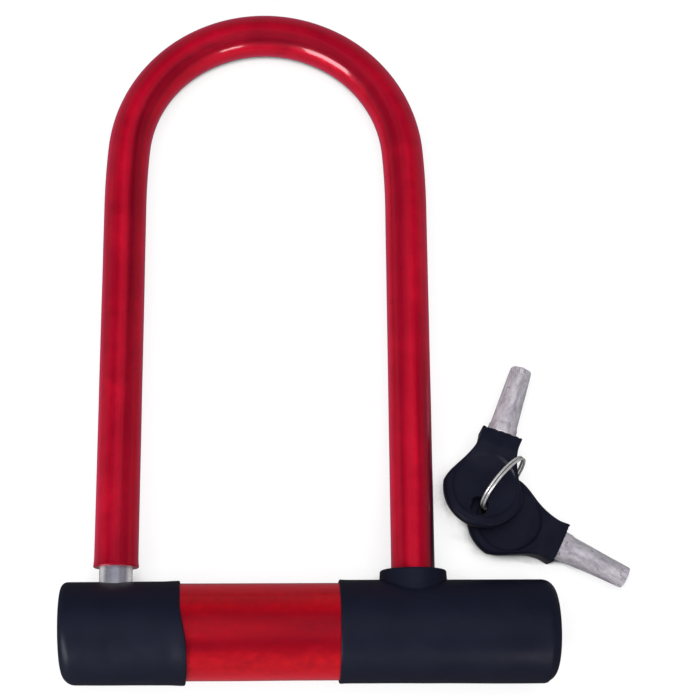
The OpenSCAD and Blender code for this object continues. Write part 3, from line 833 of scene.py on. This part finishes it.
def build_barrel(name, joint, body, node, seed):
    """Hollow zinc shank of a key: flange at the neck, slow taper, cuts around the tip and a nib."""
    place = key_place(*key_frame(joint))
    tip_r, root_r, flange_r, flange_end = 4.1, 5.1, 5.55, NECK_END + 3.8
    flange_start = NECK_END + 0.03
    profile = [(STEM_START, 0.2), (STEM_START, STEM_R - 0.3), (STEM_START + 0.3, STEM_R),
               (flange_start, STEM_R), (flange_start, flange_r - 0.2), (NECK_END + 0.25, flange_r),
               (flange_end - 0.5, flange_r - 0.05), (flange_end - 0.15, flange_r - 0.2),
               (flange_end, root_r + 0.1), (flange_end + 0.3, root_r)]
    profile += line((flange_end + 0.3, root_r), (KEY_TIP - 0.7, tip_r), 38)
    profile += arc(KEY_TIP - 0.5, tip_r - 0.5, 0.5, 75, 0, 5)
    profile += [(KEY_TIP, BORE_R + 0.2), (KEY_TIP - 0.2, BORE_R)]
    profile += line((KEY_TIP - 0.2, BORE_R), (KEY_TIP - 12, BORE_R), 6) + [(KEY_TIP - 12.6, 0.2)]

    def uneven(s, r, a):
        at = Vector((s, 9 * math.cos(a), 9 * math.sin(a) + seed))
        rough = ripple(at, 2.2, 0.035) + ripple(at, 7.0, 0.06) if s > NECK_END else 0.0
        return place @ about_x(s, r + rough if r > BORE_R + 0.3 else r, a)

    straight = [(r * math.cos(a), r * math.sin(a), s + seed) for s, r in profile for a in angles(80)]
    barrel = piece(name, lathe(profile, uneven, 80), zinc, body, [node], straight)
    cutters = []
    pin_circle, pin_r = 4.1, 0.7
    for i, cut in enumerate(KEY_CUTS):
        a = TURN * (i + 0.5) / len(KEY_CUTS)
        centre = Vector((0, -pin_circle * math.sin(a), pin_circle * math.cos(a)))
        start = KEY_TIP - cut - 1.2
        drill = [(start, 0.05)] + arc(start + pin_r, 0.0, pin_r, 150, 90, 2) + [(KEY_TIP + 1, pin_r)]
        cutters.append(lathe(drill, lambda s, r, b, c=centre: place @ (about_x(s, r, b) + c), 20))
    combine(barrel, "DIFFERENCE", *cutters)
    nib = slab((KEY_TIP - 3, -0.7, 3.4), (KEY_TIP - 1, 0.7, 4.62))
    combine(barrel, "UNION", ([place @ Vector(v) for v in nib[0]], nib[1]))
    return barrel


def build_ring():
    """Split ring: two flat turns of round wire side by side, with the step from one to the other."""
    heading, lean, start = math.radians(47.3), math.radians(12.2), math.radians(250)
    ring_r, wire_r, pitch, jog = 11.64, 0.46, 1.1, math.radians(34)
    sweep, steps, sides = 2 * TURN - jog, 260, 16
    hang = Vector((-0.17, 0.40, -0.35))     # how it hangs, against the CAD ring's place
    centre = (ring_lo + ring_hi) / 2 + hang
    upright = Matrix.Rotation(math.pi / 2 - lean, 3, "X") @ Matrix.Rotation(start, 3, "Z")
    turn = Matrix.Rotation(heading, 3, "Z") @ upright
    # (turn along the wire, share of its thickness): both ends are blunt and slightly tapered
    rows = [(0.0, 0.25), (0.012, 0.75)]
    rows += [(0.035 + (sweep - 0.07) * i / steps, 1.0) for i in range(steps + 1)]
    rows += [(sweep - 0.012, 0.75), (sweep, 0.25)]
    rings = []
    for t, size in rows:
        rise = pitch * (smoothstep(TURN - jog, TURN, t) - 0.5)
        ring = []
        for a in angles(sides):
            r = ring_r + wire_r * size * math.cos(a)
            height = rise + wire_r * size * math.sin(a)
            ring.append(centre + turn @ Vector((r * math.cos(t), r * math.sin(t), height)))
        rings.append(ring)
    shape = loft(rings, ends=(True, True))
    return piece("split_ring", shape, nickel, "key_ring", ["key_ring"])


build_sleeve()
build_bar()
build_band()
build_left_cap()
build_right_cap()
build_collar()
for key, joint, seed in (("a", "key_a_swing", 1.7), ("b", "key_b_swing", 8.3)):
    build_bow(f"key_{key}_moulded_bow", joint, f"key_{key}", f"key_{key}_bow", seed)
    build_barrel(f"key_{key}_zinc_barrel", joint, f"key_{key}", f"key_{key}_barrel", seed)
build_ring()


# ---------------------------------------------------------------- finish of the CAD nodes that stay

NODE_FINISH = {
    "crossbar_tube": tube_steel, "rotary_bolt": bolt_steel,
    "foot_block": die_cast, "leg_block": die_cast, "cylinder_housing": die_cast,
    "block_pins": pin_steel, "housing_pin": pin_steel, "barrel_pin": pin_steel,
    "driver_pins": pin_steel, "pin_springs": pin_steel, "bolt_screw": pin_steel,
    "cylinder_shell": cylinder_face, "plug": cylinder_face, "pin_barrel": brass, "key_pins": brass,
}
for node, material in NODE_FINISH.items():
    mesh = frame["nodes"][node].data
    mesh.materials.clear()
    mesh.materials.append(material)


# ---------------------------------------------------------------- floor, light and camera

FLOOR_IN_REFLECTIONS = 0.11     # brightness of the floor as the lock mirrors it
FLOOR_GLOW = 0.75               # share of the floor that shows no shadow, as in the bleached picture
SHADE_REACH = 0.025             # how far round a spot things darken the floor, in metres
DEEP_SHADE = (0.28, 0.4)        # share of open sky at which the floor goes from dark to pale
FLOOR_Z, FLOOR_SLOPE = -18.9, 0.0449    # the lock rests on its caps and its crown, so the floor tilts


def build_floor():
    """Pale paper that takes painted shade close to things and otherwise half glows, tilted as the lock
    lies.
    """
    size = 4000.0
    corners = [(x * size, y * size, FLOOR_Z + FLOOR_SLOPE * y * size)
               for x, y in ((-1, -1), (1, -1), (1, 1), (-1, 1))]
    mesh = bpy.data.meshes.new("floor")
    mesh.from_pydata([Vector(c) * MM for c in corners], [], [(0, 1, 2, 3)])
    floor = bpy.data.objects.new("floor", mesh)
    bpy.context.scene.collection.objects.link(floor)
    material, tree = new_material("paper")
    fibres = grain(tree, object_coordinates(tree), 900.0, 2.0)
    paper = blend_colour(tree, fibres, (0.93, 0.93, 0.935), (0.95, 0.95, 0.955))
    open_sky = put(tree, "AmbientOcclusion", out=1, Distance=SHADE_REACH, settings={"samples": 32})
    # painted shade: the paper's colour goes nearly black where things close it in, as under the keys' bows
    paper = blend_colour(tree, remap(tree, open_sky, *DEEP_SHADE), (0.02, 0.02, 0.03), paper)
    lit = put(tree, "BsdfPrincipled", Base_Color=paper, Roughness=0.9, Specular_IOR_Level=0.1,
              Normal=relief(tree, fibres, 0.00002))
    dim = put(tree, "Emission", (1.0, 0.98, 1.0, 1.0), FLOOR_IN_REFLECTIONS)
    seen = put(tree, "LightPath", out=3)
    glow = put(tree, "Emission", (1.0, 1.0, 1.0, 1.0), 1.0)
    share = math_node(tree, "MULTIPLY", remap(tree, open_sky, *DEEP_SHADE), FLOOR_GLOW)
    pale = put(tree, "MixShader", share, lit, glow)
    put(tree, "OutputMaterial", put(tree, "MixShader", seen, pale, dim))
    mesh.materials.append(material)


def area_light(name, at, towards, width, height, power, in_reflections=True):
    """Rectangular soft light aimed at a point; places in millimetres."""
    data = bpy.data.lights.new(name, "AREA")
    data.shape = "RECTANGLE"
    data.size, data.size_y = width * MM, height * MM
    data.energy = power
    light = bpy.data.objects.new(name, data)
    light.location = Vector(at) * MM
    aim = (Vector(towards) - Vector(at)).to_track_quat("-Z", "Y")
    light.rotation_euler = aim.to_euler()
    light.visible_glossy = in_reflections
    bpy.context.scene.collection.objects.link(light)


def build_world():
    """Dim soft room for reflections; plain pale to the camera."""
    world = bpy.data.worlds.new("studio")
    world.use_nodes = True
    tree = world.node_tree
    tree.nodes.clear()
    direction = put(tree, "TexCoord", out=0)
    height = put(tree, "SeparateXYZ", direction, out=2)
    wall = remap(tree, height, 0.1, 0.8, 0.14, 0.02)
    room = put(tree, "Background", (1.0, 1.0, 1.02, 1.0), wall)
    pale = put(tree, "Background", (1.0, 1.0, 1.0, 1.0), 0.95)
    seen = put(tree, "LightPath", out=0)
    put(tree, "OutputWorld", put(tree, "MixShader", seen, room, pale))
    bpy.context.scene.world = world


def build_camera():
    """Camera high over the crossbar, looking a little up the U, as the lock was pictured."""
    at = Vector((-3.4, -56.7, 604.0))
    forward = Vector((0.05583, 0.25767, -0.96462)).normalized()
    right = Vector((0.99843, -0.01020, 0.05507))
    right = (right - forward * right.dot(forward)).normalized()
    up = right.cross(forward)
    data = bpy.data.cameras.new("camera")
    data.sensor_width = 36.0
    data.lens = 85.77
    camera = bpy.data.objects.new("camera", data)
    camera.matrix_world = Matrix.Translation(at * MM) @ Matrix((right, up, -forward)).transposed().to_4x4()
    data.clip_start, data.clip_end = 0.01, 20.0
    bpy.context.scene.collection.objects.link(camera)
    bpy.context.scene.camera = camera


build_floor()
area_light("overhead", (30, 100, 900), (30, 100, 0), 900, 900, 12, in_reflections=False)
area_light("key_left", (-520, -420, 300), (0, 60, 0), 470, 330, 4.6)
area_light("fill_right", (330, -560, 300), (20, 60, 0), 200, 160, 0.9)
build_world()
build_camera()
bpy.context.scene.view_settings.view_transform = "Standard"
